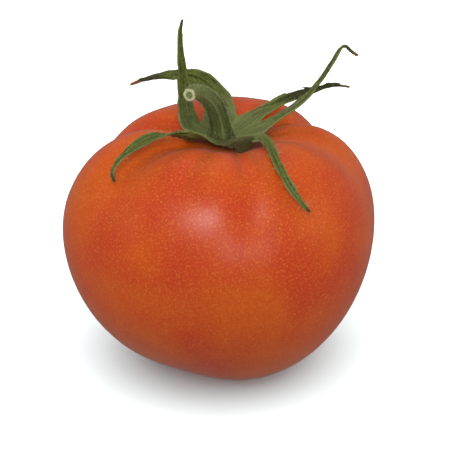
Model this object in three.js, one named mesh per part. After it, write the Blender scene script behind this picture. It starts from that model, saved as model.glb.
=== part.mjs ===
// A ripe round tomato, picked with its calyx and a short bent stalk, resting on a small flat spot.
// Units are millimetres, +Z is up, and the origin is the middle of the flat spot that it rests on.
import * as THREE from 'three';

// Driving dimensions
const HALF_WIDTH = 40;        // mean radius of the fruit at its belly
const HEIGHT = 65;            // from the flat spot to the top of the shoulders
const BELLY_HEIGHT = 40;      // where the fruit is widest
const SHOULDER_RADIUS = 18;   // the ring where the shoulders are highest
const HOLLOW_RADIUS = 7;      // the floor of the stalk's hollow
const HOLLOW_DEPTH = 3.5;     // from the shoulders down to that floor
const REST_RADIUS = 9;        // the flat spot
const CALYX_X = -1;           // the middle of the calyx, a little off the fruit's own middle
const CALYX_Y = -1.2;
const CALYX_RADIUS = 7.5;     // the fused cup that the sepals grow from
const CALYX_RISE = 2.4;       // from the cup's underside to its rim
const SEPAL_THICKNESS = 0.7;
const GAP = 0.3;              // clearance between neighbouring solids

// Mesh resolution
const FRUIT_SEGMENTS = 80;
const FRUIT_RINGS = 32;
const CALYX_SEGMENTS = 40;
const SEPAL_STEPS = 28;
const SEPAL_STRIPS = 4;
const STALK_SIDES = 18;
const STALK_STEPS = 22;

const { degToRad, radToDeg, smoothstep } = THREE.MathUtils;

// ---------------------------------------------------------------- fruit

// The seed chambers swell between shallow valleys that start in the stalk's hollow.
// Each valley: its bearing (degrees from +X towards +Y), depth, half width (degrees) and how far
// down the side it reaches (0 is the flat spot, 1 the hollow).
const VALLEYS = [
  { bearing: 33, depth: 4.2, spread: 13, reach: 0.62 },
  { bearing: 105, depth: 0.3, spread: 15, reach: 0.7 },
  { bearing: 166, depth: 4.2, spread: 13, reach: 0.62 },
  { bearing: 216, depth: 2.4, spread: 11, reach: 0.66 },
  { bearing: 279, depth: 1.6, spread: 7, reach: 0.7 },
  { bearing: 352, depth: 1.8, spread: 14, reach: 0.72 },
];

// The fruit isn't round: each swell pushes the skin out around one bearing and one share of the side.
const SWELLS = [
  { bearing: 195, share: 0.5, height: 3.0, spread: 50, span: 0.35 },
  { bearing: 350, share: 0.5, height: -2.6, spread: 45, span: 0.35 },
  { bearing: 65, share: 0.76, height: -1.2, spread: 42, span: 0.16 },
  { bearing: 135, share: 0.7, height: -1.9, spread: 30, span: 0.2 },
  { bearing: 238, share: 0.14, height: -1.6, spread: 32, span: 0.14 },
];

const turnBetween = (a, b) => Math.abs(((a - b + 540) % 360) - 180);
const bell = (x) => Math.exp(-x * x);

// Half section from the flat spot's rim, up the belly, over the shoulder and into the hollow.
function sideCurve() {
  const side = new THREE.Path();
  side.moveTo(REST_RADIUS, 0);
  side.bezierCurveTo(24, 0, HALF_WIDTH, BELLY_HEIGHT - 22, HALF_WIDTH, BELLY_HEIGHT);
  side.bezierCurveTo(HALF_WIDTH, BELLY_HEIGHT + 14, SHOULDER_RADIUS + 11, HEIGHT, SHOULDER_RADIUS, HEIGHT);
  const floor = HEIGHT - HOLLOW_DEPTH;
  side.bezierCurveTo(SHOULDER_RADIUS - 5, HEIGHT, HOLLOW_RADIUS + 3, floor, HOLLOW_RADIUS, floor);
  return side;
}

function fruitGeometry() {
  const side = sideCurve();
  const points = side.getSpacedPoints(FRUIT_RINGS);
  const profile = [new THREE.Vector2(0, 0), ...points, new THREE.Vector2(0, points.at(-1).y)];
  const geometry = new THREE.LatheGeometry(profile, FRUIT_SEGMENTS);
  geometry.rotateX(Math.PI / 2);

  const position = geometry.getAttribute('position');
  const uv = geometry.getAttribute('uv');
  const point = new THREE.Vector3();
  const last = profile.length - 1;
  for (let i = 0; i < position.count; i++) {
    const ring = Math.round(uv.getY(i) * last);
    if (ring < 2 || ring === last) continue;      // the flat spot and the hollow's floor stay as they are
    point.fromBufferAttribute(position, i);
    const bearing = radToDeg(Math.atan2(point.y, point.x));
    const share = (ring - 1) / (last - 2);
    const along = side.getTangentAt(share);
    const outward = new THREE.Vector3(point.x, point.y, 0).normalize().multiplyScalar(along.y);
    outward.z = -along.x;
    let push = 0;
    for (const v of VALLEYS) {
      const fade = smoothstep(share, v.reach - 0.3, v.reach + 0.15) * (1 - smoothstep(share, 0.9, 1.0));
      push -= v.depth * fade * bell(turnBetween(bearing, v.bearing) / v.spread);
    }
    for (const s of SWELLS) {
      push += s.height * bell(turnBetween(bearing, s.bearing) / s.spread) * bell((share - s.share) / s.span)
        * smoothstep(share, 0, 0.15) * (1 - smoothstep(share, 0.82, 1));
    }
    point.addScaledVector(outward, push);
    position.setXYZ(i, point.x, point.y, point.z);
  }
  return geometry;
}

// ---------------------------------------------------------------- calyx and stalk

// A shallow cup in the hollow: flat underneath, thin at its raised rim.
function calyxGeometry() {
  const under = HEIGHT - HOLLOW_DEPTH + GAP;
  const rim = under + CALYX_RISE;
  const section = [
    [0, under], [CALYX_RADIUS - 2.5, under], [CALYX_RADIUS - 0.7, under + 0.9],
    [CALYX_RADIUS, rim - 0.3], [CALYX_RADIUS - 0.3, rim], [CALYX_RADIUS - 1.1, rim - 0.7],
    [CALYX_RADIUS - 2.6, under + 1.1], [0, under + 1.1],
  ];
  const geometry = new THREE.LatheGeometry(section.map(([r, z]) => new THREE.Vector2(r, z)), CALYX_SEGMENTS);
  return geometry.rotateX(Math.PI / 2).translate(CALYX_X, CALYX_Y, 0);
}

// Frames along a smooth route. Each stop is [x, y, z, half width, roll in degrees].
// The side vector starts level and square to the route and is carried along it without spinning.
function routeFrames(stops, steps, firstSide) {
  const route = new THREE.CatmullRomCurve3(stops.map(([x, y, z]) => new THREE.Vector3(x, y, z)));
  const shape = new THREE.CatmullRomCurve3(stops.map(([, , , w, roll = 0]) => new THREE.Vector3(w, roll, 0)));
  const side = firstSide.clone();
  const frames = [];
  for (let i = 0; i <= steps; i++) {
    const along = route.getTangent(i / steps);
    side.addScaledVector(along, -side.dot(along)).normalize();
    const { x: width, y: roll } = shape.getPoint(i / steps);
    const across = side.clone().applyAxisAngle(along, degToRad(roll));
    frames.push({ centre: route.getPoint(i / steps), across, out: across.clone().cross(along), width });
  }
  return frames;
}

// Bends a shape that stands along its own Y, from -0.5 to 0.5, onto the frames of a route.
function bend(geometry, frames, thickness) {
  const position = geometry.getAttribute('position');
  for (let i = 0; i < position.count; i++) {
    const step = Math.round((position.getY(i) + 0.5) * (frames.length - 1));
    const { centre, across, out, width } = frames[step];
    const point = centre.clone().addScaledVector(across, position.getX(i) * width);
    point.addScaledVector(out, position.getZ(i) * (thickness ?? width));
    position.setXYZ(i, point.x, point.y, point.z);
  }
  return geometry;
}

// A sepal is a thin blade that tapers to its tip.
function sepalGeometry(stops) {
  const [x, y] = stops[0];
  const firstSide = new THREE.Vector3(y - CALYX_Y, CALYX_X - x, 0);
  const frames = routeFrames(stops, SEPAL_STEPS, firstSide);
  const blade = new THREE.BoxGeometry(2, 1, 1, SEPAL_STRIPS, SEPAL_STEPS, 1);
  return bend(blade, frames, SEPAL_THICKNESS);
}

function stalkGeometry(stops) {
  const frames = routeFrames(stops, STALK_STEPS, new THREE.Vector3(1, 0, 0));
  return bend(new THREE.CylinderGeometry(1, 1, 1, STALK_SIDES, STALK_STEPS), frames);
}

const SEPALS = {
  // lies over the left shoulder and curls down onto it
  sepal_left: [
    [-8.6, -4.4, 64.4, 2.6, 10], [-11.2, -6.3, 65.8, 2.0, 20], [-14.2, -8.3, 67.1, 1.6, 10],
    [-18, -10.5, 67.2, 1.8, 0], [-22.3, -13.4, 66.2, 1.5, 0], [-26.2, -15.8, 64.2, 1.0, 0],
    [-28.4, -17.7, 61.4, 0.7, 0], [-27.8, -19.4, 59, 0.3, 0],
  ],
  // stands straight up
  sepal_upright: [
    [-8.9, 2.0, 64.4, 3.0, 0], [-10.4, 3.3, 67.2, 2.7, -32], [-11, 4.3, 71, 2.1, -46],
    [-11.6, 4.9, 75.5, 1.6, -50], [-12.1, 5, 80, 1.15, -48], [-12.2, 5, 84, 0.8, -45],
    [-12.1, 4.7, 88, 0.55, -40], [-11.3, 4, 91.7, 0.25, -40],
  ],
  // rises behind the stalk, then arches over to the left
  sepal_back: [
    [-2.2, 7.2, 64.4, 3.6, 0], [-2.6, 8.4, 67.6, 3.5, 0], [-4.3, 9.1, 70.6, 3.2, 0],
    [-6.8, 9.4, 73.2, 2.6, 0], [-10.6, 9.2, 75, 1.9, 12], [-14.8, 8.9, 75.3, 1.25, 25],
    [-18.6, 8.4, 74.9, 0.8, 40], [-22, 7.8, 74.3, 0.65, 60], [-24.8, 7, 73.5, 0.25, 60],
  ],
  // runs back over the right shoulder and dries as it curls
  sepal_back_right: [
    [4.9, 5.7, 64.4, 2.4, 0], [7.8, 7.7, 65.5, 1.9, 0], [10.4, 9.7, 66, 1.3, 0],
    [13.6, 12.1, 66.4, 1.3, 0], [16.8, 13.9, 66.9, 1.3, 0], [20.1, 15.4, 67.3, 1.1, 0],
    [23.4, 16.7, 68.3, 0.9, 0], [26.2, 17.8, 68.7, 0.7, 0], [28.7, 18.9, 68.2, 0.4, 0],
    [31.2, 20, 67.4, 0.25, 0],
  ],
  // climbs to the right, and its dry tip hooks over
  sepal_right: [
    [7.7, 0.6, 64.4, 2.7, 0], [9.9, 1.9, 65.4, 1.8, 8], [12.5, 3.2, 66.6, 1.3, 10],
    [15.8, 4.2, 68.4, 1.1, 10], [18.9, 5, 70.6, 1.05, 5], [21.4, 5.6, 73.1, 1.0, 0],
    [23.4, 6.1, 75.8, 0.95, 0], [25.1, 6.6, 78.4, 0.85, 0], [26.6, 7, 81.2, 0.7, 0],
    [28, 7.2, 83.6, 0.5, 0], [30.1, 6.6, 82.8, 0.45, 0], [32.1, 6, 81.7, 0.25, 0],
  ],
  // arches over the rim and lies down the front
  sepal_front: [
    [6.2, -5.8, 64.4, 2.3, 0], [8.3, -8.8, 65.7, 1.5, 0], [9.5, -12.6, 66.3, 1.2, 0],
    [10.4, -17.2, 66.4, 1.05, 0], [11.8, -22.6, 65, 1.0, 0], [14.2, -27.6, 62.2, 0.9, 0],
    [17.2, -30.2, 58.8, 0.6, 0], [19.2, -30.8, 56.6, 0.25, 0],
  ],
};

// Swells out of the calyx, bends over to the left and ends in a cut face turned to the front.
const STALK = [
  [-2.2, -1.2, 63.4, 3.4], [-2.4, -1.2, 66, 2.7], [-3.3, -1, 69.8, 2.45], [-4.8, -1.2, 72.8, 2.2],
  [-6.8, -2.2, 75, 2.0], [-8.5, -4, 76, 1.8], [-9.7, -6.6, 76.3, 1.6],
];

// ---------------------------------------------------------------- the part

const colours = {
  skin: 0xc44f2c,
  leaf: 0x4f6434,
  stalk: 0x56693c,
};

function piece(name, geometry, color, roughness) {
  const mesh = new THREE.Mesh(geometry, new THREE.MeshStandardMaterial({ color, roughness, metalness: 0 }));
  mesh.name = name;
  return mesh;
}

const tomato = new THREE.Group();
tomato.name = 'tomato';
tomato.add(piece('fruit', fruitGeometry(), colours.skin, 0.35));
tomato.add(piece('calyx_base', calyxGeometry(), colours.leaf, 0.8));
for (const [name, stops] of Object.entries(SEPALS)) {
  tomato.add(piece(name, sepalGeometry(stops), colours.leaf, 0.8));
}
tomato.add(piece('stalk', stalkGeometry(STALK), colours.stalk, 0.8));

export default tomato;
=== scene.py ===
# %% [markdown]
# # A ripe tomato with its calyx and a bent stalk
#
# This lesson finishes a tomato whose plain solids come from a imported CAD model. The fruit becomes
# smooth waxy skin, and the green star on top, which the CAD holds as separate plain blades, is
# modelled again as one fused leafy piece with its stalk and its fine hairs.
#
# Everything is in metres and stands in the same frame as the CAD: +Z is up, -Y is the front, and
# the origin is the middle of the flat spot that the fruit rests on.

# %% Load the frame and measure it
import math
import bmesh
import bpy
import numpy as np
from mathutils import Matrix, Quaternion, Vector


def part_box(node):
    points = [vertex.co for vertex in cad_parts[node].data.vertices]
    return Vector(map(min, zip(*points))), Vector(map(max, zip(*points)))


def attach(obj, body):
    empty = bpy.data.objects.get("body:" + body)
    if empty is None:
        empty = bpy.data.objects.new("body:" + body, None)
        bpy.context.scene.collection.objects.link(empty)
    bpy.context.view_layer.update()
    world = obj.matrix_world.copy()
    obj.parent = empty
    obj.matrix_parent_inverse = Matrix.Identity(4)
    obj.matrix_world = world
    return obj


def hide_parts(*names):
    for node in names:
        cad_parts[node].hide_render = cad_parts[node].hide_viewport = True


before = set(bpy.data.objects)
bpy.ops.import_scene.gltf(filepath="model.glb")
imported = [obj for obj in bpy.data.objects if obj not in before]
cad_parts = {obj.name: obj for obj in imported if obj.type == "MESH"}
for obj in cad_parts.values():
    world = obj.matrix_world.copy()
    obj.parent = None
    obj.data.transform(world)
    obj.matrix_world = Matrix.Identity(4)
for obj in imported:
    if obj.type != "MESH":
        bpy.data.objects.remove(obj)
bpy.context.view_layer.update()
fruit_low, fruit_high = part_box("fruit")
MM = 0.001
print("the fruit's width, depth and height, mm:",
      [round((high - low) / MM, 1) for low, high in zip(fruit_low, fruit_high)])

# %% [markdown]
# ## Camera
#
# A long lens from half a metre away keeps the fruit's shape true, with little perspective. The
# camera looks down by 27 degrees, so the hollow and the whole calyx show, and it aims a little
# above the fruit's middle to leave room for the sepals.

# %% Camera
LOOK_DOWN = math.radians(27)
CAMERA_DISTANCE = 0.5
AIM = Vector((-1, 0, 37.5)) * MM
FRAME_WIDTH = 114.8 * MM     # how much of the scene the frame spans at the aim point
SENSOR_WIDTH = 36            # mm

camera_data = bpy.data.cameras.new("camera")
camera_data.sensor_width = SENSOR_WIDTH
camera_data.lens = SENSOR_WIDTH * CAMERA_DISTANCE / FRAME_WIDTH
camera = bpy.data.objects.new("camera", camera_data)
bpy.context.scene.collection.objects.link(camera)
back_from_aim = Vector((0, -math.cos(LOOK_DOWN), math.sin(LOOK_DOWN)))
camera.location = AIM + back_from_aim * CAMERA_DISTANCE
camera.rotation_euler = (math.pi / 2 - LOOK_DOWN, 0, 0)
bpy.context.scene.camera = camera
print("lens, mm:", round(camera_data.lens, 1))

# %% [markdown]
# ## Small helpers
#
# Colours are written as sRGB hex values, as a paint chart gives them, and shaders want linear
# numbers, so one function turns one into the other. A second function adds a shader node with its
# settings and its links in one call. The others do what a hand does in the viewport: start with
# nothing selected, pick vertices by their place, and apply a modifier.

# %% Colours and nodes
# A Mix node's inputs and outputs share their names, so they are called by number.
COLOUR_A, COLOUR_B, MIXED_COLOUR = 6, 7, 2
NUMBER_A, NUMBER_B, MIXED_NUMBER = 2, 3, 0


def colour(hex_value, alpha=1.0):
    """An sRGB hex value such as 0xC44F2C as linear red, green, blue and alpha."""
    parts = [(hex_value >> shift & 255) / 255 for shift in (16, 8, 0)]
    linear = [c / 12.92 if c <= 0.04045 else ((c + 0.055) / 1.055) ** 2.4 for c in parts]
    return (*linear, alpha)


def add(tree, kind, inputs=None, **settings):
    """Adds a node. inputs maps its sockets to values, or to the outputs that feed them."""
    made = tree.nodes.new(kind)
    for name, value in settings.items():
        setattr(made, name, value)
    for socket, value in (inputs or {}).items():
        if isinstance(value, bpy.types.NodeSocket):
            tree.links.new(value, made.inputs[socket])
        else:
            made.inputs[socket].default_value = value
    return made


def new_material(name):
    """A material with its Principled shader, ready for its nodes."""
    material = bpy.data.materials.new(name)
    material.use_nodes = True
    return material, material.node_tree, material.node_tree.nodes["Principled BSDF"]


print("a mid red in linear numbers:", [round(c, 3) for c in colour(0xBA3A16)])


# %% Selecting and finishing
def only(piece):
    """Leaves one object selected and active."""
    bpy.ops.object.select_all(action="DESELECT")
    piece.select_set(True)
    bpy.context.view_layer.objects.active = piece


def pick(piece, test):
    """Selects, in edit mode, the vertices whose place passes a test, and nothing else."""
    bpy.ops.mesh.select_mode(type="VERT")
    bpy.ops.mesh.select_all(action="DESELECT")
    bpy.ops.object.mode_set(mode="OBJECT")
    count = 0
    for vertex in piece.data.vertices:
        vertex.select = bool(test(vertex.co))
        count += vertex.select
    bpy.ops.object.mode_set(mode="EDIT")
    return count


def finish_with(piece, kind, **settings):
    """Adds a modifier to a piece and applies it."""
    only(piece)
    modifier = piece.modifiers.new(kind.title(), kind)
    for name, value in settings.items():
        setattr(modifier, name, value)
    bpy.ops.object.modifier_apply(modifier=modifier.name)


def smooth_step(low, high, value):
    """0 up to low, 1 from high on, and an even S between them."""
    share = min(max((value - low) / (high - low), 0), 1)
    return share * share * (3 - 2 * share)


bpy.ops.object.select_all(action="DESELECT")
print("selected to begin with:", len(bpy.context.selected_objects))

# %% [markdown]
# Blender may number the edges and faces of an extrusion differently each time it runs. Nothing of
# that shows at first, but later steps go by those numbers: the hairs, for one, would stand in other
# places each time. So what an extrusion made is taken out and put back in the order of its vertices,
# whose numbers don't change.

# %% The same order every time
def put_in_order(piece, kept=0):
    """Makes the edges and faces past the first kept vertices again, in the order of their vertices."""
    shape = bmesh.new()
    shape.from_mesh(piece.data)

    def is_new(part):
        return max(corner.index for corner in part.verts) >= kept

    in_order = [part for part in (*shape.edges, *shape.faces) if not is_new(part)]
    new_edges = [edge for edge in shape.edges if is_new(edge)]
    new_faces = [face for face in shape.faces if is_new(face)]
    ends = sorted(sorted(corner.index for corner in edge.verts) for edge in new_edges)
    outlines = []
    for face in new_faces:
        corners = [corner.index for corner in face.verts]
        first = corners.index(min(corners))
        outlines.append(corners[first:] + corners[:first])
        shape.faces.remove(face)
    for edge in new_edges:
        shape.edges.remove(edge)
    shape.verts.ensure_lookup_table()
    for pair in ends:
        in_order.append(shape.edges.new([shape.verts[corner] for corner in pair]))
    for outline in sorted(outlines):
        in_order.append(shape.faces.new([shape.verts[corner] for corner in outline]))
    rank = {part: place for place, part in enumerate(in_order)}
    shape.edges.sort(key=rank.get)
    shape.faces.sort(key=rank.get)
    shape.to_mesh(piece.data)
    shape.free()
    print(piece.name, "edges and faces put in order:", len(ends), len(outlines))


# %% [markdown]
# ## The fruit
#
# A tomato is a berry under a thin taut skin. The CAD solid already has its lobes, its hollow and
# its flat spot, but it is faceted. It could be sculpted again from a sphere, at the risk of its
# size. Instead a copy of it is merged, its triangles are joined back to quads and it is subdivided
# twice, which rounds the facets and keeps the form. The CAD mesh itself is left alone.

# %% The rounded fruit
SAME_PLACE = 0.001 * MM          # corners closer than this are one corner
QUAD_ANGLE = math.radians(60)    # how far two triangles may bend or skew and still make a quad


def copy_of_node(node, name):
    """A merged copy of a CAD node's mesh, as quads, at the same place."""
    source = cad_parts[node]
    copy = bpy.data.objects.new(name, source.data.copy())
    copy.data.transform(source.matrix_world)
    copy.data.materials.clear()
    bpy.context.scene.collection.objects.link(copy)
    only(copy)
    bpy.ops.object.mode_set(mode="EDIT")
    bpy.ops.mesh.select_all(action="SELECT")
    bpy.ops.mesh.remove_doubles(threshold=SAME_PLACE)
    bpy.ops.mesh.tris_convert_to_quads(face_threshold=QUAD_ANGLE, shape_threshold=QUAD_ANGLE)
    bpy.ops.object.mode_set(mode="OBJECT")
    return copy


tomato_fruit = copy_of_node("fruit", "tomato_fruit")
finish_with(tomato_fruit, "SUBSURF", levels=2, render_levels=2)
only(tomato_fruit)
bpy.ops.object.shade_smooth()
print("fruit faces:", len(tomato_fruit.data.polygons))

# %% [markdown]
# A ripe skin isn't one colour all over. On the shoulder, round the hollow, deep orange streaks run
# down from the stalk like lines of longitude. Where the skin dips between two lobes it is a deeper
# orange, darkened further as painted shade in the valley. A material can't find such places by
# itself, so each vertex keeps what it needs:
#
# - "dip" is how far the skin lies under a smoothed copy of itself.
# - "shoulder" fades from 1 at the hollow to 0 further out.
# - "meridian" is a place that turns with the bearing and hardly changes down the side, so that a
#   noise read there is drawn out into streaks.

# %% Numbers on the vertices
def places(piece):
    """Every vertex's place, as rows of x, y and z."""
    flat = np.empty(len(piece.data.vertices) * 3)
    piece.data.vertices.foreach_get("co", flat)
    return flat.reshape(-1, 3)


def directions(piece):
    """Every vertex's normal, as rows of x, y and z."""
    flat = np.empty(len(piece.data.vertices) * 3)
    piece.data.vertices.foreach_get("normal", flat)
    return flat.reshape(-1, 3)


def keep_on_vertices(piece, name, values):
    """Stores one number, or one row of x, y and z, for each vertex, for a material to read."""
    values = np.asarray(values, dtype=np.float32)
    if values.ndim == 1:
        piece.data.attributes.new(name, "FLOAT", "POINT").data.foreach_set("value", values)
    else:
        kept = piece.data.attributes.new(name, "FLOAT_VECTOR", "POINT")
        kept.data.foreach_set("vector", values.ravel())


# %% Dips between the lobes
# The dip drives painted shade in the valleys, on top of the skin's own deeper orange there.
FULL_DIP = 0.25 * MM    # a valley this deep takes the whole tint

smoothed = tomato_fruit.copy()
smoothed.data = tomato_fruit.data.copy()
bpy.context.scene.collection.objects.link(smoothed)
finish_with(smoothed, "SMOOTH", factor=0.8, iterations=90)
dip = ((places(smoothed) - places(tomato_fruit)) * directions(tomato_fruit)).sum(axis=1)
bpy.data.objects.remove(smoothed)
keep_on_vertices(tomato_fruit, "dip", np.clip(dip / FULL_DIP, -1, 1))
print("deepest dip, mm:", round(dip.max() / MM, 2))

# %% Shoulder and meridians
STALK_FOOT = (-1 * MM, -1.2 * MM, 0)    # the upright line that the streaks run out from
SHOULDER_ENDS = (12 * MM, 32 * MM)      # from that line: all shoulder, and none any more
UPPER_HALF = 40 * MM                    # only above this height
STREAK_CIRCLE = 20 * MM                 # the streaks' noise is read on a circle of this radius
STREAK_STRETCH = 0.12                   # and at this share of the height

from_stalk = places(tomato_fruit) - STALK_FOOT
away = np.hypot(from_stalk[:, 0], from_stalk[:, 1])
shoulder = np.interp(away, SHOULDER_ENDS, (1, 0)) * (from_stalk[:, 2] > UPPER_HALF)
keep_on_vertices(tomato_fruit, "shoulder", shoulder)
meridian = from_stalk / np.maximum(away, 1 * MM)[:, None] * (STREAK_CIRCLE, STREAK_CIRCLE, 0)
meridian[:, 2] = STREAK_STRETCH * from_stalk[:, 2]
keep_on_vertices(tomato_fruit, "meridian", meridian)
print("vertices on the shoulder:", int((shoulder > 0).sum()))

# %% [markdown]
# Below the shoulder the lobes fade out and the skin is taut and even. A Smooth modifier with a
# vertex group evens out the sides, and leaves the lobed top and the flat spot as they are. It moves
# the skin by less than half a millimetre.

# %% Even sides
SIDE_STARTS = (6, 14)    # mm above the floor: not smoothed yet, and smoothed in full
SIDE_ENDS = (50, 60)     # and in full still, and no longer

sides = tomato_fruit.vertex_groups.new(name="sides")
for vertex in tomato_fruit.data.vertices:
    height = vertex.co.z / MM
    share = smooth_step(*SIDE_STARTS, height) * (1 - smooth_step(*SIDE_ENDS, height))
    sides.add([vertex.index], share, "REPLACE")
before = places(tomato_fruit)
finish_with(tomato_fruit, "SMOOTH", factor=0.8, iterations=60, vertex_group="sides")
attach(tomato_fruit, "root")
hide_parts("fruit")
moved = np.linalg.norm(places(tomato_fruit) - before, axis=1)
print("the sides moved by up to, mm:", round(moved.max() / MM, 2))

# %% [markdown]
# ## Routes
#
# Each sepal and the stalk follow a route in space: a list of stops. A stop is its place in
# millimetres, the piece's half width there, its roll in degrees, and how far its margins fold up,
# as a share of the half width. The stops keep close to the CAD's. Only the bends between them are
# finer, because here one route carries a whole leaf, from the cup to its dry tip.
#
# A piece is first modelled straight, in unit sizes, where its features are easy to pick by their
# place. Then it is laid along its route. A Curve modifier could do that, but its roll can't be set
# at will where the route stands upright, so a short function moves the vertices instead.

# %% Routes
CALYX_MIDDLE = Vector((-1, -1.2, 61.8))    # the underside of the cup

SEPALS = {
    "sepal_left": [
        (-8.4, -4.4, 64.2, 2.6, 40, 0.1), (-11.2, -6.3, 65.7, 1.6, 58, 0.12),
        (-14.2, -8.5, 66.9, 1.5, 35, 0.15), (-18.0, -10.7, 67.1, 1.9, 0, 0.3),
        (-22.3, -13.6, 66.0, 1.5, -5, 0.4), (-26.2, -16.1, 63.9, 0.85, -5, 0.5),
        (-28.4, -18, 61.2, 0.45, 0, 0.4), (-27.8, -19.4, 59, 0.25, 0, 0.2),
    ],
    "sepal_upright": [
        (-9.5, 1.9, 64.3, 4.1, -5, 0.1), (-10.6, 3.2, 67.2, 2.6, -32, 0.12), (-11.2, 4.3, 71, 1.75, -46, 0.2),
        (-11.5, 4.9, 75.5, 1.35, -50, 0.3), (-11.8, 5, 80, 1.0, -48, 0.35), (-12, 5, 84, 0.65, -45, 0.4),
        (-12, 4.7, 88, 0.42, -40, 0.4), (-11.3, 4, 91.7, 0.2, -40, 0.2),
    ],
    "sepal_back": [
        (-2.3, 6.8, 64.4, 4.4, 0, 0.12), (-2.6, 8.3, 67.4, 3.7, 0, 0.12), (-4.3, 9.1, 70.5, 3.2, 0, 0.15),
        (-6.8, 9.4, 73.1, 2.6, 0, 0.2), (-10.6, 9.2, 74.9, 1.8, 12, 0.25), (-14.8, 8.9, 75.1, 1.1, 25, 0.4),
        (-18.2, 8.4, 74.8, 0.6, 40, 0.6), (-21.6, 7.8, 74.3, 0.65, 60, 0.5), (-24.8, 7, 73.5, 0.15, 60, 0.2),
    ],
    "sepal_back_right": [
        (5.2, 5.7, 64.4, 3.1, 0, 0.1), (7.8, 7.6, 65.5, 2.0, 5, 0.1), (10.4, 9.7, 66, 1.4, 10, 0.35),
        (13.6, 12.1, 66.3, 1.4, 10, 0.8), (16.8, 13.9, 66.8, 1.5, 10, 0.9), (20.1, 15.4, 67.2, 1.2, 5, 0.8),
        (23.4, 16.7, 68.2, 1.0, 0, 0.7), (26.2, 17.8, 68.7, 0.65, 0, 0.6), (28.7, 18.9, 68.2, 0.3, 0, 0.3),
        (31.2, 20, 67.4, 0.18, 0, 0.2),
    ],
    "sepal_right": [
        (7.7, 0.6, 64.2, 3.2, 0, 0.15), (9.9, 1.8, 65.0, 1.6, 12, 0.3), (12.5, 3, 66.3, 1.0, 18, 0.5),
        (15.8, 4, 68.1, 0.92, 18, 0.6), (18.9, 4.8, 70.4, 0.95, 10, 0.5), (21.4, 5.5, 73.0, 0.95, 5, 0.5),
        (23.4, 6.1, 75.8, 0.92, 0, 0.45), (25.1, 6.6, 78.4, 0.85, 0, 0.4), (26.6, 7, 81.2, 0.72, 0, 0.4),
        (27.7, 7.1, 83.4, 0.52, 0, 0.3), (28.9, 7, 83.9, 0.45, 0, 0.3), (29.9, 6.7, 82.9, 0.42, 0, 0.3),
        (31, 6.3, 82.2, 0.42, 0, 0.3), (32.1, 6, 81.7, 0.2, 0, 0.2),
    ],
    "sepal_front": [
        (6.6, -5.2, 64.2, 2.5, 0, 0.05), (8.3, -8.6, 65.7, 1.5, 0, 0.1), (9.5, -12.6, 66.3, 1.15, 0, 0.15),
        (10.4, -17.2, 66.4, 1.0, 0, 0.2), (11.8, -22.6, 65, 0.95, 0, 0.25),
        (14.2, -27.6, 62.2, 0.85, 0, 0.35),
        (17.2, -30.2, 58.8, 0.55, 0, 0.3), (19.2, -30.8, 56.6, 0.22, 0, 0.1),
    ],
}
# Between the left and the front sepal the cup's wall hangs over the hollow's lip as a short lap.
LAP = [
    (2.2, -6.3, 64.5, 4.4, 8, -0.05), (2.9, -8.0, 64.5, 3.5, 6, -0.15), (3.2, -9.7, 63.9, 1.9, 4, -0.2),
    (3.3, -11.4, 62.7, 0.3, 0, -0.1),
]

STALK = [
    (-2, -1.2, 61.4, 2.4, 0, 0), (-2.2, -1.2, 63.4, 3.4, 0, 0), (-2.4, -1.2, 66, 2.75, 0, 0),
    (-3.3, -1, 69.8, 2.5, 0, 0), (-4.8, -1.2, 72.8, 2.25, 0, 0), (-6.8, -2.2, 75, 2.0, 0, 0),
    (-8.5, -4, 76, 1.8, 0, 0), (-9.7, -6.6, 76.3, 1.6, 0, 0),
]


# %% Following a route
FOLD_BEND = 1.6    # how late across the blade the fold turns up: 1 is a straight V


def through(stops, share):
    """The numbers at a share of the way along a smooth curve through the stops (Catmull-Rom)."""
    last = len(stops) - 1
    i = min(int(share * last), last - 1)
    t = share * last - i
    b, c = Vector(stops[i]), Vector(stops[i + 1])
    a = Vector(stops[i - 1]) if i > 0 else 2 * b - c
    d = Vector(stops[i + 2]) if i + 2 <= last else 2 * c - b
    return 0.5 * (2 * b + (c - a) * t + (2 * a - 5 * b + 4 * c - d) * t**2 + (3 * b - a - 3 * c + d) * t**3)


def route_frames(stops, steps, side):
    """Place, across, out, half width and fold at even shares of a route, in metres."""
    nudge = 0.002
    frames = []
    for i in range(steps + 1):
        share = i / steps
        here = through(stops, share)
        ahead = through(stops, min(share + nudge, 1)) - through(stops, max(share - nudge, 0))
        along = Vector(ahead[:3]).normalized()
        side = (side - along * side.dot(along)).normalized()
        across = Quaternion(along, math.radians(here[4])) @ side
        frames.append((Vector(here[:3]) * MM, across, across.cross(along), here[3] * MM, here[5]))
    return frames


def lay_along(piece, frames):
    """Moves a straight unit piece onto a route: its y runs along, its x across and its z outward."""
    last = len(frames) - 1
    for vertex in piece.data.vertices:
        x, y, z = vertex.co
        place = min(max(y, 0), 1) * last
        i = min(int(place), last - 1)
        t = place - i
        centre, across, out, width, fold = (a * (1 - t) + b * t for a, b in zip(frames[i], frames[i + 1]))
        vertex.co = centre + across * (x * width) + out * ((z + fold * abs(x) ** FOLD_BEND) * width)


def first_side(stops):
    """Level and square to the way from the cup's middle to the first stop."""
    outward = Vector(stops[0][:3]) - CALYX_MIDDLE
    return Vector((outward.y, -outward.x, 0)).normalized()


for name, stops in SEPALS.items():
    spots = [Vector(through(stops, i / 40)[:3]) for i in range(41)]
    print(name, "length, mm:", round(sum((b - a).length for a, b in zip(spots, spots[1:])), 1))

# %% [markdown]
# ## The blade of a sepal
#
# A sepal is a small narrow leaf. It has a groove along its middle where the main vein runs, a low
# ridge on each side, and thin margins that wave as they dry. It starts as a flat grid, six cells
# wide. The middle column is pushed down, the next columns are raised, and the outer ones are moved
# a little at random, always with the same seed.

# %% A straight blade
BLADE_COLUMNS = 6
BLADE_ROWS = 34
LAP_ROWS = 8
GROOVE_DEPTH = 0.13    # these two are shares of the half width
RIDGE_HEIGHT = 0.07


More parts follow.
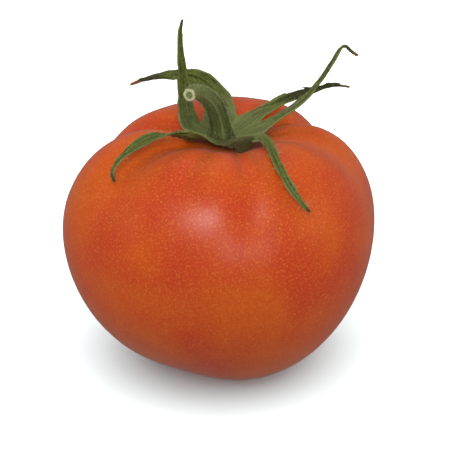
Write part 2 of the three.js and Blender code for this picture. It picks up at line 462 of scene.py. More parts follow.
def straight_blade(name, rows, waviness, seed):
    """A blade in the XY plane, from y 0 to 1 and from x -1 to 1, with its groove and wavy margins."""
    bpy.ops.object.select_all(action="DESELECT")
    bpy.ops.mesh.primitive_grid_add(
        x_subdivisions=BLADE_COLUMNS, y_subdivisions=rows, size=2, location=(0, 0, 0))
    blade = bpy.context.object
    blade.name = name
    bpy.ops.object.mode_set(mode="EDIT")
    bpy.ops.transform.resize(value=(1, 0.5, 1), center_override=(0, 0, 0))
    bpy.ops.transform.translate(value=(0, 0.5, 0))
    pick(blade, lambda co: abs(co.x) < 0.1)
    bpy.ops.transform.translate(value=(0, 0, -GROOVE_DEPTH))
    pick(blade, lambda co: 0.2 < abs(co.x) < 0.5)
    bpy.ops.transform.translate(value=(0, 0, RIDGE_HEIGHT))
    pick(blade, lambda co: abs(co.x) > 0.5 and 0.12 < co.y < 0.94)
    bpy.ops.transform.vertex_random(offset=waviness, seed=seed)
    bpy.ops.object.mode_set(mode="OBJECT")
    return blade


print("a sepal's blade is", BLADE_COLUMNS, "cells across and", BLADE_ROWS, "along")

# %% [markdown]
# Once a blade is bent, its material can't tell along from across any more. So each vertex first
# keeps its place on the straight blade, in real millimetres, which the veins will follow. It also
# keeps how near it is to the margin and how dry it is, because a picked tomato's sepals brown from
# their tips. Every blade's straight places lie in a layer of their own, so no two look alike.

# %% Blades on their routes
WAVINESS = {
    "sepal_left": 0.10, "sepal_upright": 0.08, "sepal_back": 0.16,
    "sepal_back_right": 0.20, "sepal_right": 0.10, "sepal_front": 0.08,
}
LAP_WAVINESS = 0.05
DRIES_FROM = {    # the share of its length from which each sepal starts to dry
    "sepal_left": 0.76, "sepal_upright": 0.8, "sepal_back": 0.54,
    "sepal_back_right": 0.22, "sepal_right": 0.60, "sepal_front": 0.8,
}
NEVER_DRIES = 2
DRYING_LENGTH = 0.35                  # the share over which it turns dry
BLADE_SIZE = (2 * MM, 30 * MM, 0)     # half the width and the whole length of a typical sepal
LAYER_GAP = 50 * MM

blades = {}
for seed, (name, stops) in enumerate({**SEPALS, "front_lap": LAP}.items()):
    rows = BLADE_ROWS if name in SEPALS else LAP_ROWS
    blade = straight_blade(name + "_blade", rows, WAVINESS.get(name, LAP_WAVINESS), seed)
    spots = places(blade)
    start = DRIES_FROM.get(name, NEVER_DRIES)
    dryness = [smooth_step(start, start + DRYING_LENGTH, y) for y in spots[:, 1]]
    keep_on_vertices(blade, "dryness", dryness)
    keep_on_vertices(blade, "margin", np.abs(spots[:, 0]))
    keep_on_vertices(blade, "lap", np.full(len(spots), 0.0 if name in SEPALS else 1.0))
    keep_on_vertices(blade, "straight", spots * BLADE_SIZE + (0, 0, seed * LAYER_GAP))
    lay_along(blade, route_frames(stops, rows, first_side(stops)))
    blades[name] = blade
print("blades:", len(blades), "faces each:", len(blades["sepal_left"].data.polygons))

# %% [markdown]
# ## The fused star
#
# The sepals grow out of one shallow cup round the stalk's foot. Separate blades stuck into a cup
# would show their seams, so the blades are joined into one mesh, and the near corners of
# neighbouring blades are tied by an edge. Their first rows then make one closed ring. The ring is
# extruded inwards and down, which gives the cup, with a notch between each two sepals where the
# ring's short edges are. In front, where the rim sags over the hollow's lip, one of those edges is
# split and its middle is pulled down.

# %% Join the blades
first_rows = {name: [blade.data.vertices[i].co.copy() for i in range(BLADE_COLUMNS + 1)]
              for name, blade in blades.items()}
only(blades["sepal_left"])
for blade in blades.values():
    blade.select_set(True)
bpy.ops.object.join()
calyx = bpy.context.object
calyx.name = "calyx"
print("joined faces:", len(calyx.data.polygons))

# %% The ring
SAG = Vector((-4.2, -6.4, 63.4)) * MM    # the lowest point of the rim, left of the lap
TOUCH = 0.01 * MM


def bearing(name):
    """Which way round the cup a blade starts."""
    x, y = (SEPALS.get(name) or LAP)[0][:2]
    return math.atan2(y - CALYX_MIDDLE.y, x - CALYX_MIDDLE.x)


def near_any(spots):
    """A test for pick: is a vertex on one of these spots?"""
    return lambda co: min((co - spot).length for spot in spots) < TOUCH


bpy.ops.object.mode_set(mode="EDIT")
order = sorted(blades, key=bearing)
for name, following in zip(order, order[1:] + order[:1]):
    corners = [first_rows[name][0], first_rows[following][-1]]
    notch = (corners[0] - corners[1]).length
    print(name, "to", following, "notch, mm:", round(notch / MM, 2), "picked", pick(calyx, near_any(corners)))
    bpy.ops.mesh.edge_face_add()
    if following == "front_lap":
        bpy.ops.mesh.subdivide(number_cuts=1)
        middle = (corners[0] + corners[1]) / 2
        pick(calyx, near_any([middle]))
        bpy.ops.transform.translate(value=SAG - middle)

# %% The cup
CUP_MIDDLE = Vector((CALYX_MIDDLE.x, CALYX_MIDDLE.y, 63.2)) * MM
# Each ring's size and its height over the cup's middle, as shares of the ring before it.
CUP_RINGS = ((0.86, 0.75), (0.82, 0.55), (0.78, 0.4), (0.75, 0.3), (0.6, 0.3))

ring = [spot for row in first_rows.values() for spot in row] + [SAG]
print("ring of", pick(calyx, near_any(ring)), "vertices")
before_cup = len(calyx.data.vertices)
for size, height in CUP_RINGS:
    bpy.ops.mesh.extrude_edges_move()
    bpy.ops.transform.resize(value=(size, size, height), center_override=CUP_MIDDLE)
bpy.ops.mesh.select_all(action="SELECT")
bpy.ops.mesh.normals_make_consistent(inside=True)
bpy.ops.object.mode_set(mode="OBJECT")
put_in_order(calyx, kept=before_cup)
up = sum(face.normal.z * face.area for face in calyx.data.polygons)
print("calyx faces:", len(calyx.data.polygons), "facing", "up" if up > 0 else "down")

# %% [markdown]
# Real sepals are about half a millimetre thick. Solidify gives the open sheet that wall, with a
# second material on its underside, and Subdivision Surface rounds it. Solidify comes after the cup
# is extruded, so the wall is one closed skin all round the star. It also runs round the small hole
# that is left in the middle of the cup, under the stalk.

# %% Thickness and smoothness
SEPAL_WALL = 0.5 * MM

finish_with(calyx, "SOLIDIFY", thickness=SEPAL_WALL, offset=-1, use_even_offset=False,
            material_offset=1, material_offset_rim=0)
finish_with(calyx, "SUBSURF", levels=2, render_levels=2)
only(calyx)
bpy.ops.object.shade_smooth()
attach(calyx, "root")
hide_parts("calyx_base", *SEPALS)
print("calyx triangles:", sum(len(p.vertices) - 2 for p in calyx.data.polygons))

# %% [markdown]
# ## The stalk
#
# The stalk is a short stump that swells into the calyx and was cut across at its bend. It starts
# as a filled circle, which is extruded straight up along y in short steps, so that it has rings to
# bend at. Its end is inset four times. The first rim is rounded over, the next flat ring is the
# pale rind of the cut, and the green pith inside is pressed in a little where it has dried.
#
# A stalk isn't round: its strands of fibre stand out as soft ribs. They are made by moving each
# vertex in or out by its turn round the stalk, before the stalk is laid along its route, so they
# follow its bend. How far each vertex stands out is kept, because the ribs are also paler.

# %% A straight stalk
STALK_SIDES = 30
STALK_ROWS = 26
CUT_STEPS = ((0.07, 0.012), (0.25, 0.0), (0.06, -0.006), (0.30, -0.004))    # each inset, and its push

bpy.ops.object.select_all(action="DESELECT")
bpy.ops.mesh.primitive_circle_add(
    vertices=STALK_SIDES, radius=1, fill_type="NGON", location=(0, 0, 0), rotation=(math.pi / 2, 0, 0))
stalk = bpy.context.object
stalk.name = "bent_stalk"
bpy.ops.object.transform_apply(location=True, rotation=True, scale=True)
bpy.ops.object.mode_set(mode="EDIT")
for row in range(STALK_ROWS):
    bpy.ops.mesh.extrude_region_move(TRANSFORM_OT_translate={"value": (0, 1 / STALK_ROWS, 0)})
for inset, push in CUT_STEPS:
    bpy.ops.mesh.inset(thickness=inset, depth=0)
    bpy.ops.transform.translate(value=(0, push, 0))
bpy.ops.mesh.select_all(action="SELECT")
bpy.ops.mesh.normals_make_consistent(inside=False)
bpy.ops.object.mode_set(mode="OBJECT")
put_in_order(stalk)
print("straight stalk faces:", len(stalk.data.polygons))

# %% The cut's materials
BARK, RIND, PITH = 0, 1, 2    # the stalk's material slots
PITH_RADIUS = 0.6

for face in stalk.data.polygons:
    away = math.hypot(face.center.x, face.center.z)
    if face.center.y > 1.001 and abs(face.normal.y) > 0.5:
        face.material_index = RIND if away > PITH_RADIUS else PITH
print("faces of the cut:", sum(face.material_index != BARK for face in stalk.data.polygons))

# %% Ribs, and the bend
STALK_RADIUS = 2 * MM
STALK_LENGTH = 18 * MM

spots = places(stalk)
turns = np.arctan2(spots[:, 2], spots[:, 0])
straight = np.column_stack((turns * STALK_RADIUS, spots[:, 1] * STALK_LENGTH, 0 * turns))
keep_on_vertices(stalk, "straight", straight)
ribs = 1 + 0.035 * np.cos(5 * turns) + 0.02 * np.cos(9 * turns + 1)    # five broad ribs and nine low ones
keep_on_vertices(stalk, "rib", ribs - 1)
for vertex, rib in zip(stalk.data.vertices, ribs):
    vertex.co.x *= rib
    vertex.co.z *= rib
lay_along(stalk, route_frames(STALK, STALK_ROWS, Vector((1, 0, 0))))
finish_with(stalk, "SUBSURF", levels=2, render_levels=2)
only(stalk)
bpy.ops.object.shade_smooth()
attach(stalk, "root")
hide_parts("stalk")
print("stalk faces:", len(stalk.data.polygons))

# %% [markdown]
# ## Hairs
#
# Tomato stalks and sepals are covered in fine pale hairs, which catch the light as a silvery fuzz
# along every outline. Blender's own hair system would make strands, but those have no faces to
# carry into a model, so one hair is a thin cone with three sides. Thousands of them stand on the
# surface at random places, always from the same seed, so they are written straight into one mesh:
# modelling and copying so many by operators would take minutes and give the same shape.
#
# Real hairs are a few hundredths of a millimetre thick. These are 0.06 mm at the foot, or they
# wouldn't show.

# %% One function for all hairs
LEAN = 0.35    # how far a hair strays from square to the surface, on average


def hairs(name, host, count, longest, seed, accept=None, girth=0.03 * MM):
    """A mesh of three-sided cones on a host's surface, each with its foot just inside it."""
    rng = np.random.default_rng(seed)
    host.data.calc_loop_triangles()
    corners = np.empty(len(host.data.loop_triangles) * 3, dtype=np.int32)
    host.data.loop_triangles.foreach_get("vertices", corners)
    corners = corners.reshape(-1, 3)
    if accept is not None:
        corners = corners[accept(corners)]
    spots = places(host)[corners]
    normals = directions(host)[corners]
    areas = np.linalg.norm(np.cross(spots[:, 1] - spots[:, 0], spots[:, 2] - spots[:, 0]), axis=1)
    chosen = rng.choice(len(areas), size=count, p=areas / areas.sum())
    shares = rng.dirichlet((1, 1, 1), size=count)[:, :, None]
    feet = (spots[chosen] * shares).sum(axis=1)
    ups = (normals[chosen] * shares).sum(axis=1) + rng.normal(0, LEAN, (count, 3))
    ups /= np.linalg.norm(ups, axis=1)[:, None]
    sides = np.cross(ups, rng.normal(0, 1, (count, 3)))
    sides /= np.linalg.norm(sides, axis=1)[:, None]
    fronts = np.cross(ups, sides)
    lengths = longest * rng.uniform(0.4, 1, (count, 1))
    vertices, faces = [], []
    for k in range(3):
        turn = 2 * math.pi * k / 3
        vertices.append(feet - ups * girth + (sides * math.cos(turn) + fronts * math.sin(turn)) * girth)
    vertices.append(feet + ups * lengths)
    vertices = np.stack(vertices, axis=1).reshape(-1, 3)
    for start in range(0, 4 * count, 4):
        faces += [(start, start + 1, start + 3), (start + 1, start + 2, start + 3),
                  (start + 2, start, start + 3), (start + 2, start + 1, start)]
    mesh = bpy.data.meshes.new(name)
    mesh.from_pydata(vertices.tolist(), [], faces)
    made = bpy.data.objects.new(name, mesh)
    bpy.context.scene.collection.objects.link(made)
    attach(made, "root")
    print(name, "hairs:", count)
    return made


# %% Hairs on the calyx and the stalk
FRONT = -8 * MM       # in front of this, margins have a fringe
MARGIN = 0.8          # further out than this share of the half width


def long_margins(corners):
    """The margins of the front and the left sepal, which carry the longest hairs."""
    margin = np.empty(len(calyx.data.vertices), dtype=np.float32)
    calyx.data.attributes["margin"].data.foreach_get("value", margin)
    in_front = places(calyx)[:, 1] < FRONT
    return (margin[corners].min(axis=1) > MARGIN) & in_front[corners].all(axis=1)


calyx_hairs = hairs("calyx_hairs", calyx, 3000, 0.5 * MM, seed=3)
fringe_hairs = hairs("fringe_hairs", calyx, 130, 2.2 * MM, seed=5, accept=long_margins, girth=0.035 * MM)
stalk_hairs = hairs("stalk_hairs", stalk, 2600, 0.6 * MM, seed=7)

# %% [markdown]
# ## Skin
#
# The skin is a clear waxy cuticle, a few hundredths of a millimetre thick, grown over orange-red
# flesh. Light goes a few millimetres into the flesh, so it has a little subsurface scattering, and
# the wax is smooth but not polished, so its shine is broad and soft.
#
# One flat red would look like plastic. The colour is built up as a painter would, in thin layers,
# each a Mix node over the one before. Two reds drift into each other over about 22 mm. Deep orange
# lies in streaks down the shoulder, and in the dips, where it is the skin's deeper orange with
# painted shade over it. Then come a speckle of lighter cells, a darker mottle and a few pale
# pores. Real cells are under a tenth of a millimetre wide, too fine to show, so these are drawn at
# 0.5 to 2 mm.

# %% Two reds that drift into each other
DRIFT = 22 * MM

skin, tree, shader = new_material("ripe_waxy_skin")
where = add(tree, "ShaderNodeTexCoord").outputs["Object"]
drift = add(tree, "ShaderNodeTexNoise", {"Vector": where, "Scale": 1 / DRIFT, "Detail": 2.0})
more_orange = add(tree, "ShaderNodeMapRange", {
    "Value": drift.outputs["Fac"], "From Min": 0.38, "From Max": 0.62})
reds = add(tree, "ShaderNodeMix", {
    "Factor": more_orange.outputs["Result"], COLOUR_A: colour(0xBA3A16), COLOUR_B: colour(0xC45010)},
    data_type="RGBA")
print("skin nodes so far:", len(tree.nodes))

# %% Deep orange streaks down the shoulder, and painted shade in the dips
STREAK_WIDTH = 5 * MM

meridian = add(tree, "ShaderNodeAttribute", attribute_name="meridian").outputs["Vector"]
streaks = add(tree, "ShaderNodeTexNoise", {"Vector": meridian, "Scale": 1 / STREAK_WIDTH, "Detail": 1.0})
in_streak = add(tree, "ShaderNodeMapRange", {
    "Value": streaks.outputs["Fac"], "From Min": 0.44, "From Max": 0.6})
shoulder = add(tree, "ShaderNodeAttribute", attribute_name="shoulder")
on_shoulder = add(tree, "ShaderNodeMath", {
    0: shoulder.outputs["Fac"], 1: in_streak.outputs["Result"]}, operation="MULTIPLY")
# In the dips the deeper orange is partly the skin's own and partly painted shade.
dips = add(tree, "ShaderNodeAttribute", attribute_name="dip")
painted_dip_shade = add(tree, "ShaderNodeMapRange", {"Value": dips.outputs["Fac"], "From Min": 0.0, "From Max": 0.6})
streak_or_dip_shade = add(tree, "ShaderNodeMath", {
    0: on_shoulder.outputs["Value"], 1: painted_dip_shade.outputs["Result"]}, operation="MAXIMUM")
streaks_and_dip_shade = add(tree, "ShaderNodeMix", {
    "Factor": streak_or_dip_shade.outputs["Value"], COLOUR_A: reds.outputs[MIXED_COLOUR], COLOUR_B: colour(0xA03E02)},
    data_type="RGBA")
print("skin nodes so far:", len(tree.nodes))

# %% Lighter speckle and darker mottle
SPECKLE = 0.5 * MM
MOTTLE = 0.8 * MM

speckle = add(tree, "ShaderNodeTexNoise", {"Vector": where, "Scale": 1 / SPECKLE, "Detail": 2.0})
light_cells = add(tree, "ShaderNodeMapRange", {
    "Value": speckle.outputs["Fac"], "From Min": 0.5, "From Max": 0.66, "To Max": 0.42})
speckled = add(tree, "ShaderNodeMix", {
    "Factor": light_cells.outputs["Result"], COLOUR_A: streaks_and_dip_shade.outputs[MIXED_COLOUR],
    COLOUR_B: colour(0xD27824)}, data_type="RGBA")
mottle = add(tree, "ShaderNodeTexNoise", {
    "Vector": where, "Scale": 1 / MOTTLE, "Detail": 3.0, "Roughness": 0.6})
dark_cells = add(tree, "ShaderNodeMapRange", {
    "Value": mottle.outputs["Fac"], "From Min": 0.5, "From Max": 0.7, "To Max": 0.32})
mottled = add(tree, "ShaderNodeMix", {
    "Factor": dark_cells.outputs["Result"], COLOUR_A: speckled.outputs[MIXED_COLOUR],
    COLOUR_B: colour(0xA83408)}, data_type="RGBA")
print("skin nodes so far:", len(tree.nodes))

# %% Pores, and the scar where the flower was
PORE_GAP = 2 * MM
SCAR_EDGE = (1.2 * MM, 2.0 * MM)    # from the middle underneath: all scar, and none any more

pores = add(tree, "ShaderNodeTexVoronoi", {"Vector": where, "Scale": 1 / PORE_GAP})
at_pore = add(tree, "ShaderNodeMapRange", {
    "Value": pores.outputs["Distance"], "From Min": 0.05, "From Max": 0.11, "To Min": 0.45, "To Max": 0})
pored = add(tree, "ShaderNodeMix", {
    "Factor": at_pore.outputs["Result"], COLOUR_A: mottled.outputs[MIXED_COLOUR],
    COLOUR_B: colour(0xDE9840)}, data_type="RGBA")
from_scar = add(tree, "ShaderNodeVectorMath", {0: where}, operation="LENGTH").outputs["Value"]
at_scar = add(tree, "ShaderNodeMapRange", {
    "Value": from_scar, "From Min": SCAR_EDGE[0], "From Max": SCAR_EDGE[1], "To Min": 0.9, "To Max": 0})
scarred = add(tree, "ShaderNodeMix", {
    "Factor": at_scar.outputs["Result"], COLOUR_A: pored.outputs[MIXED_COLOUR],
    COLOUR_B: colour(0x6A4A2C)}, data_type="RGBA")
tree.links.new(scarred.outputs[MIXED_COLOUR], shader.inputs["Base Color"])
print("skin nodes so far:", len(tree.nodes))

# %% Wax, flesh and ripple
LIGHT_GOES_IN = 3 * MM
RIPPLE = 1 * MM
RIPPLE_HEIGHT = 0.05 * MM

shader.inputs["Roughness"].default_value = 0.35
shader.inputs["IOR"].default_value = 1.45                     # plant wax
shader.inputs["Specular IOR Level"].default_value = 0.3
shader.inputs["Sheen Weight"].default_value = 0.05            # the wax's dusty bloom at glancing angles
shader.inputs["Sheen Roughness"].default_value = 0.4
shader.inputs["Subsurface Weight"].default_value = 0.15
shader.inputs["Subsurface Radius"].default_value = (1.0, 0.25, 0.1)    # red light goes furthest
shader.inputs["Subsurface Scale"].default_value = LIGHT_GOES_IN
ripple = add(tree, "ShaderNodeTexNoise", {"Vector": where, "Scale": 1 / RIPPLE, "Detail": 3.0})
bump = add(tree, "ShaderNodeBump", {
    "Height": ripple.outputs["Fac"], "Strength": 0.5, "Distance": RIPPLE_HEIGHT})
tree.links.new(bump.outputs["Normal"], shader.inputs["Normal"])
tomato_fruit.data.materials.append(skin)
print("skin nodes:", len(tree.nodes))

# %% [markdown]
# ## Leaf
#
# Sepals are matt green leaf with a rough, hairy surface, so they have almost no shine. Their veins
# run along them in paler and darker lines, and stand up a little. Noise stretched along the blade
# draws both, and it reads the places that each vertex kept from the straight blade, so the lines
# follow every bend. Real veins are about 0.2 mm wide; they are drawn at 0.5 mm, so that they show.
#
# Over the green come the pale margins, painted shade on the lap, the brown of the dried ends with
# their rust-coloured tips, and the paler leaf near the cup. The underside is a second material from
# the same function, browner and darker as painted shade.

# %% Leaf materials
VEIN = 0.5 * MM
VEIN_STRETCH = (1, 0.08, 1)    # the noise runs this much slower along the blade
VEIN_HEIGHT = 0.15 * MM
PATCH = 0.8 * MM


def leaf_green(tree, straight, patches, pale, deep):
    """Veins and patches of two greens. Returns the green and the veins."""
    stretched = add(tree, "ShaderNodeMapping", {"Vector": straight, "Scale": VEIN_STRETCH})
    veins = add(tree, "ShaderNodeTexNoise", {
        "Vector": stretched.outputs["Vector"], "Scale": 1 / VEIN, "Detail": 2.0})
    both = add(tree, "ShaderNodeMix", {
        "Factor": 0.35, NUMBER_A: veins.outputs["Fac"], NUMBER_B: patches.outputs["Fac"]})
    share = add(tree, "ShaderNodeMapRange", {
        "Value": both.outputs[MIXED_NUMBER], "From Min": 0.38, "From Max": 0.64})
    green = add(tree, "ShaderNodeMix", {
        "Factor": share.outputs["Result"], COLOUR_A: colour(deep), COLOUR_B: colour(pale)},
        data_type="RGBA")
    return green, veins


def margins_and_lap_shade(tree, green):
    """Paler margins, and painted shade on the lap under the rim."""
    margin = add(tree, "ShaderNodeAttribute", attribute_name="margin")
    at_margin = add(tree, "ShaderNodeMapRange", {
        "Value": margin.outputs["Fac"], "From Min": 0.8, "From Max": 1, "To Max": 0.35})
    edged = add(tree, "ShaderNodeMix", {
        "Factor": at_margin.outputs["Result"], COLOUR_A: green.outputs[MIXED_COLOUR],
        COLOUR_B: colour(0x90965C)}, data_type="RGBA")
    # Painted shade: the lap is painted a dark olive brown where the rim shades it.
    lap = add(tree, "ShaderNodeAttribute", attribute_name="lap")
    return add(tree, "ShaderNodeMix", {
        "Factor": lap.outputs["Fac"], COLOUR_A: edged.outputs[MIXED_COLOUR],
        COLOUR_B: colour(0x362E04)}, data_type="RGBA")


def dried_ends(tree, fresh, patches, along, dry):
    """Brown where the blade has dried, and rust-coloured at the driest tips."""
    dryness = add(tree, "ShaderNodeAttribute", attribute_name="dryness")
    patchy = add(tree, "ShaderNodeMath", {
        0: dryness.outputs["Fac"], 1: patches.outputs["Fac"]}, operation="MULTIPLY")
    how_brown = add(tree, "ShaderNodeMapRange", {
        "Value": patchy.outputs["Value"], "From Min": 0.1, "From Max": 0.32, "To Max": 0.9})
    browned = add(tree, "ShaderNodeMix", {
        "Factor": how_brown.outputs["Result"], COLOUR_A: fresh.outputs[MIXED_COLOUR],
        COLOUR_B: colour(dry)}, data_type="RGBA")
    at_tip = add(tree, "ShaderNodeMapRange", {"Value": along, "From Min": 26.5 * MM, "From Max": 28 * MM})
    driest = add(tree, "ShaderNodeMapRange", {
        "Value": dryness.outputs["Fac"], "From Min": 0.8, "From Max": 1})
    rusty = add(tree, "ShaderNodeMath", {
        0: at_tip.outputs["Result"], 1: driest.outputs["Result"]}, operation="MULTIPLY")
    return add(tree, "ShaderNodeMix", {
        "Factor": rusty.outputs["Value"], COLOUR_A: browned.outputs[MIXED_COLOUR],
        COLOUR_B: colour(0x7A4018)}, data_type="RGBA")


def leaf_material(name, pale, deep, dry):
    """Matt green leaf with its veins, margins, dried ends and paler foot."""
    material, tree, shader = new_material(name)
    straight = add(tree, "ShaderNodeAttribute", attribute_name="straight").outputs["Vector"]
    along = add(tree, "ShaderNodeSeparateXYZ", {"Vector": straight}).outputs["Y"]
    where = add(tree, "ShaderNodeTexCoord").outputs["Object"]
    patches = add(tree, "ShaderNodeTexNoise", {"Vector": where, "Scale": 1 / PATCH, "Detail": 3.0})
    green, veins = leaf_green(tree, straight, patches, pale, deep)
    fresh = margins_and_lap_shade(tree, green)
    dried = dried_ends(tree, fresh, patches, along, dry)
    near_cup = add(tree, "ShaderNodeMapRange", {
        "Value": along, "From Min": 1 * MM, "From Max": 9 * MM, "To Min": 0.24, "To Max": 0})
    done = add(tree, "ShaderNodeMix", {
        "Factor": near_cup.outputs["Result"], COLOUR_A: dried.outputs[MIXED_COLOUR],
        COLOUR_B: colour(0x848A5C)}, data_type="RGBA")
    tree.links.new(done.outputs[MIXED_COLOUR], shader.inputs["Base Color"])
    shader.inputs["Roughness"].default_value = 0.55
    shader.inputs["IOR"].default_value = 1.42
    shader.inputs["Specular IOR Level"].default_value = 0.3
    bump = add(tree, "ShaderNodeBump", {
        "Height": veins.outputs["Fac"], "Strength": 0.8, "Distance": VEIN_HEIGHT})
    tree.links.new(bump.outputs["Normal"], shader.inputs["Normal"])
    return material


calyx.data.materials.append(leaf_material("leaf_upper", 0x6A7230, 0x303A0E, 0x302E14))
# The underside's darker, browner greens are painted shade, since the underside faces away from the light.
calyx.data.materials.append(leaf_material("leaf_underside_painted_shade", 0x4E4E18, 0x2E300A, 0x241C0A))
print("leaf materials:", [material.name for material in calyx.data.materials])

# %% [markdown]
# ## Stalk, cut and hair
#
# The stalk's green is streaked along its fibres, paler on the ribs, and paler again towards the
# cut, as painted light on the top of its arch. It is matt, because its surface is all fine hair and fibre.
#
# Its end was cut straight across with a blade and has dried since. That bares a pale woody ring of
# fibres round soft green pith, both dull and fine-grained, so both come from one function. Real
# grain there is about 0.1 mm; it is drawn at 0.35 and 0.4 mm, so that it shows.
#
# Hair is hollow and lets light through, which makes it pale and slightly uneven in tint.

# %% Stalk material
FIBRE = 0.6 * MM
FIBRE_STRETCH = (1, 0.1, 1)

stem, tree, shader = new_material("hairy_stalk")
straight = add(tree, "ShaderNodeAttribute", attribute_name="straight").outputs["Vector"]
stretched = add(tree, "ShaderNodeMapping", {"Vector": straight, "Scale": FIBRE_STRETCH})
fibres = add(tree, "ShaderNodeTexNoise", {
    "Vector": stretched.outputs["Vector"], "Scale": 1 / FIBRE, "Detail": 2.0})
pale_fibres = add(tree, "ShaderNodeMapRange", {
    "Value": fibres.outputs["Fac"], "From Min": 0.35, "From Max": 0.7})
green = add(tree, "ShaderNodeMix", {
    "Factor": pale_fibres.outputs["Result"], COLOUR_A: colour(0x2A3206), COLOUR_B: colour(0x4E581E)},
    data_type="RGBA")
rib = add(tree, "ShaderNodeAttribute", attribute_name="rib")
on_rib = add(tree, "ShaderNodeMapRange", {
    "Value": rib.outputs["Fac"], "From Min": 0.03, "From Max": 0.055, "To Max": 0.5})
ridged = add(tree, "ShaderNodeMix", {
    "Factor": on_rib.outputs["Result"], COLOUR_A: green.outputs[MIXED_COLOUR],
    COLOUR_B: colour(0x8A905E)}, data_type="RGBA")
along = add(tree, "ShaderNodeSeparateXYZ", {"Vector": straight}).outputs["Y"]
# Painted light: towards the cut the stalk is paler, where the top of its arch faces the light.
painted_arch_light = add(tree, "ShaderNodeMapRange", {
    "Value": along, "From Min": 8 * MM, "From Max": 14 * MM, "To Max": 0.4})
lit_arch_colour = add(tree, "ShaderNodeMix", {
    "Factor": painted_arch_light.outputs["Result"], COLOUR_A: ridged.outputs[MIXED_COLOUR],
    COLOUR_B: colour(0x7C8450)}, data_type="RGBA")
tree.links.new(lit_arch_colour.outputs[MIXED_COLOUR], shader.inputs["Base Color"])
shader.inputs["Roughness"].default_value = 0.6
shader.inputs["Specular IOR Level"].default_value = 0.3
stalk.data.materials.append(stem)
print("stalk nodes:", len(tree.nodes))


# %% The cut
def cut_material(name, pale, deep, grain):
    """The dried face of the cut: a pale woody ring, or the softer green pith inside it."""
    material, tree, shader = new_material(name)
    where = add(tree, "ShaderNodeTexCoord").outputs["Object"]
    fibres = add(tree, "ShaderNodeTexNoise", {"Vector": where, "Scale": 1 / grain, "Detail": 3.0})
    pale_ends = add(tree, "ShaderNodeMapRange", {
        "Value": fibres.outputs["Fac"], "From Min": 0.35, "From Max": 0.65})
    tone = add(tree, "ShaderNodeMix", {
        "Factor": pale_ends.outputs["Result"], COLOUR_A: colour(deep), COLOUR_B: colour(pale)},
        data_type="RGBA")
    tree.links.new(tone.outputs[MIXED_COLOUR], shader.inputs["Base Color"])
    shader.inputs["Roughness"].default_value = 0.7
    return material


stalk.data.materials.append(cut_material("cut_wood", 0xC8C8A4, 0xA0A078, 0.35 * MM))
stalk.data.materials.append(cut_material("cut_pith", 0x7C8A4A, 0x4E5A28, 0.4 * MM))
print("stalk materials:", [material.name for material in stalk.data.materials])

# %% Hair material
TINT_CHANGE = 2 * MM    # hairs this far apart differ in tint

down, tree, shader = new_material("pale_hair")
where = add(tree, "ShaderNodeTexCoord").outputs["Object"]
tint = add(tree, "ShaderNodeTexNoise", {"Vector": where, "Scale": 1 / TINT_CHANGE})
pale = add(tree, "ShaderNodeMix", {
    "Factor": tint.outputs["Fac"], COLOUR_A: colour(0x7A824A), COLOUR_B: colour(0xACB086)},
    data_type="RGBA")
tree.links.new(pale.outputs[MIXED_COLOUR], shader.inputs["Base Color"])
shader.inputs["Roughness"].default_value = 0.5
for piece in (calyx_hairs, fringe_hairs, stalk_hairs):
    piece.data.materials.append(down)
print("pieces with hair:", down.users)

# %% [markdown]
# ## Floor and light
#
# The tomato stands on plain white paper. Light that turns paper pure white and still leaves it a
# soft shadow is far too bright for the skin, so the two are lit apart, as a studio does with
# screens. Each lamp is linked to a collection and lights only what is in it. The paper gets a wide
# wash from above, and its colour is kept a mid grey, so that the shadow stays deep. The paper is
# also hidden from the tomato's own shading and reflections, or its bright wash would light the
# fruit from below.
#
# The tomato has a soft key from above and the front, a wing on each side that keeps the edges from
# going dark, and a lamp behind for the far shoulder. These shape the form and make no highlight.
# Two smaller lamps do only that: one broad highlight high on the front and a faint one lower down.
#
# The world is plain white. A Light Path node gives it three strengths: one for shading, one for
# the camera, which sees it as the backdrop, and a low one for reflections, a little lower still
# from below, where a real table would be.

# %% Floor
FLOOR_SIZE = 1.1
PAPER_COLOUR = (0.285, 0.3, 0.302, 1)

bpy.ops.object.select_all(action="DESELECT")
bpy.ops.mesh.primitive_plane_add(size=FLOOR_SIZE, location=(0, 0, 0))
floor = bpy.context.object
floor.name = "floor"
paper = bpy.data.materials.new("white_paper")
paper.use_nodes = True
tree = paper.node_tree
tree.nodes.remove(tree.nodes["Principled BSDF"])
matt = add(tree, "ShaderNodeBsdfDiffuse", {"Color": PAPER_COLOUR})
tree.links.new(matt.outputs["BSDF"], tree.nodes["Material Output"].inputs["Surface"])
floor.data.materials.append(paper)
floor.visible_diffuse = False
floor.visible_glossy = False
print("floor, m:", [round(side, 2) for side in floor.dimensions])

# %% World
WHITE = colour(0xFFFFFF)
FOR_SHADING = 0.55
FOR_CAMERA = 1.05
FOR_SHINE = (0.2, 0.26)        # from below, and from the sides and above
HORIZON = (-0.25, 0.05)        # how high a direction points where one turns into the other

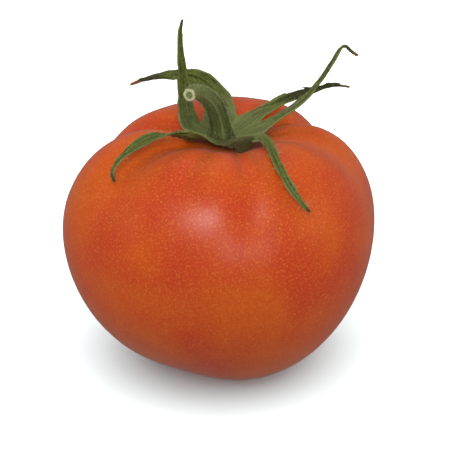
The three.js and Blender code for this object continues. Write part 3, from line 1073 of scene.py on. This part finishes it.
world = bpy.data.worlds.new("studio")
bpy.context.scene.world = world
world.use_nodes = True
tree = world.node_tree
shading = tree.nodes["Background"]
shading.inputs["Color"].default_value = WHITE
shading.inputs["Strength"].default_value = FOR_SHADING
backdrop = add(tree, "ShaderNodeBackground", {"Color": WHITE, "Strength": FOR_CAMERA})
direction = add(tree, "ShaderNodeTexCoord").outputs["Generated"]
height = add(tree, "ShaderNodeSeparateXYZ", {"Vector": direction}).outputs["Z"]
by_height = add(tree, "ShaderNodeMapRange", {
    "Value": height, "From Min": HORIZON[0], "From Max": HORIZON[1],
    "To Min": FOR_SHINE[0], "To Max": FOR_SHINE[1]})
mirrored = add(tree, "ShaderNodeBackground", {"Color": WHITE, "Strength": by_height.outputs["Result"]})
ray = add(tree, "ShaderNodeLightPath").outputs
on_tomato = add(tree, "ShaderNodeMixShader", {
    0: ray["Is Glossy Ray"], 1: shading.outputs["Background"], 2: mirrored.outputs["Background"]})
to_all = add(tree, "ShaderNodeMixShader", {
    0: ray["Is Camera Ray"], 1: on_tomato.outputs["Shader"], 2: backdrop.outputs["Background"]})
tree.links.new(to_all.outputs["Shader"], tree.nodes["World Output"].inputs["Surface"])
print("world nodes:", len(tree.nodes))

# %% Softboxes
lit_pieces = bpy.data.collections.new("lit_pieces")
for piece in (tomato_fruit, calyx, stalk, calyx_hairs, fringe_hairs, stalk_hairs):
    lit_pieces.objects.link(piece)
lit_floor = bpy.data.collections.new("lit_floor")
lit_floor.objects.link(floor)


def softbox(name, turn, rise, distance, size, brightness, lights=lit_pieces, shade=True, shine=True):
    """A round area light, aimed at the fruit. turn is to the right of the front, rise above the floor."""
    data = bpy.data.lights.new(name, "AREA")
    data.shape = "DISK"
    data.size = size
    data.energy = brightness * math.pi * distance**2 * math.pi    # the same brightness from any distance
    light = bpy.data.objects.new(name, data)
    bpy.context.scene.collection.objects.link(light)
    turn, rise = math.radians(turn), math.radians(rise)
    back = Vector((math.sin(turn) * math.cos(rise), -math.cos(turn) * math.cos(rise), math.sin(rise)))
    light.location = AIM + back * distance
    light.rotation_euler = back.to_track_quat("Z", "Y").to_euler()
    light.light_linking.receiver_collection = lights
    light.visible_diffuse = shade
    light.visible_glossy = shine


softbox("floor_wash", turn=0, rise=72, distance=0.9, size=2.6, brightness=18, lights=lit_floor)
softbox("floor_fill", turn=0, rise=20, distance=0.9, size=0.3, brightness=0.1, lights=lit_floor)
softbox("key", turn=-5, rise=45, distance=0.6, size=0.4, brightness=0.56, shine=False)
softbox("shine", turn=-13, rise=46, distance=0.6, size=0.22, brightness=0.52, shade=False)
softbox("low_shine", turn=14, rise=18, distance=0.6, size=0.2, brightness=0.15, shade=False)
softbox("left_wing", turn=-80, rise=20, distance=0.7, size=0.4, brightness=0.16, shine=False)
softbox("right_wing", turn=80, rise=20, distance=0.7, size=0.4, brightness=0.22, shine=False)
softbox("top_back", turn=180, rise=55, distance=0.7, size=0.4, brightness=0.2, shine=False)

# %% [markdown]
# ## Finish
#
# The colours were chosen for the Standard view, which shows white as white.

# %% Finish
bpy.context.scene.view_settings.view_transform = "Standard"
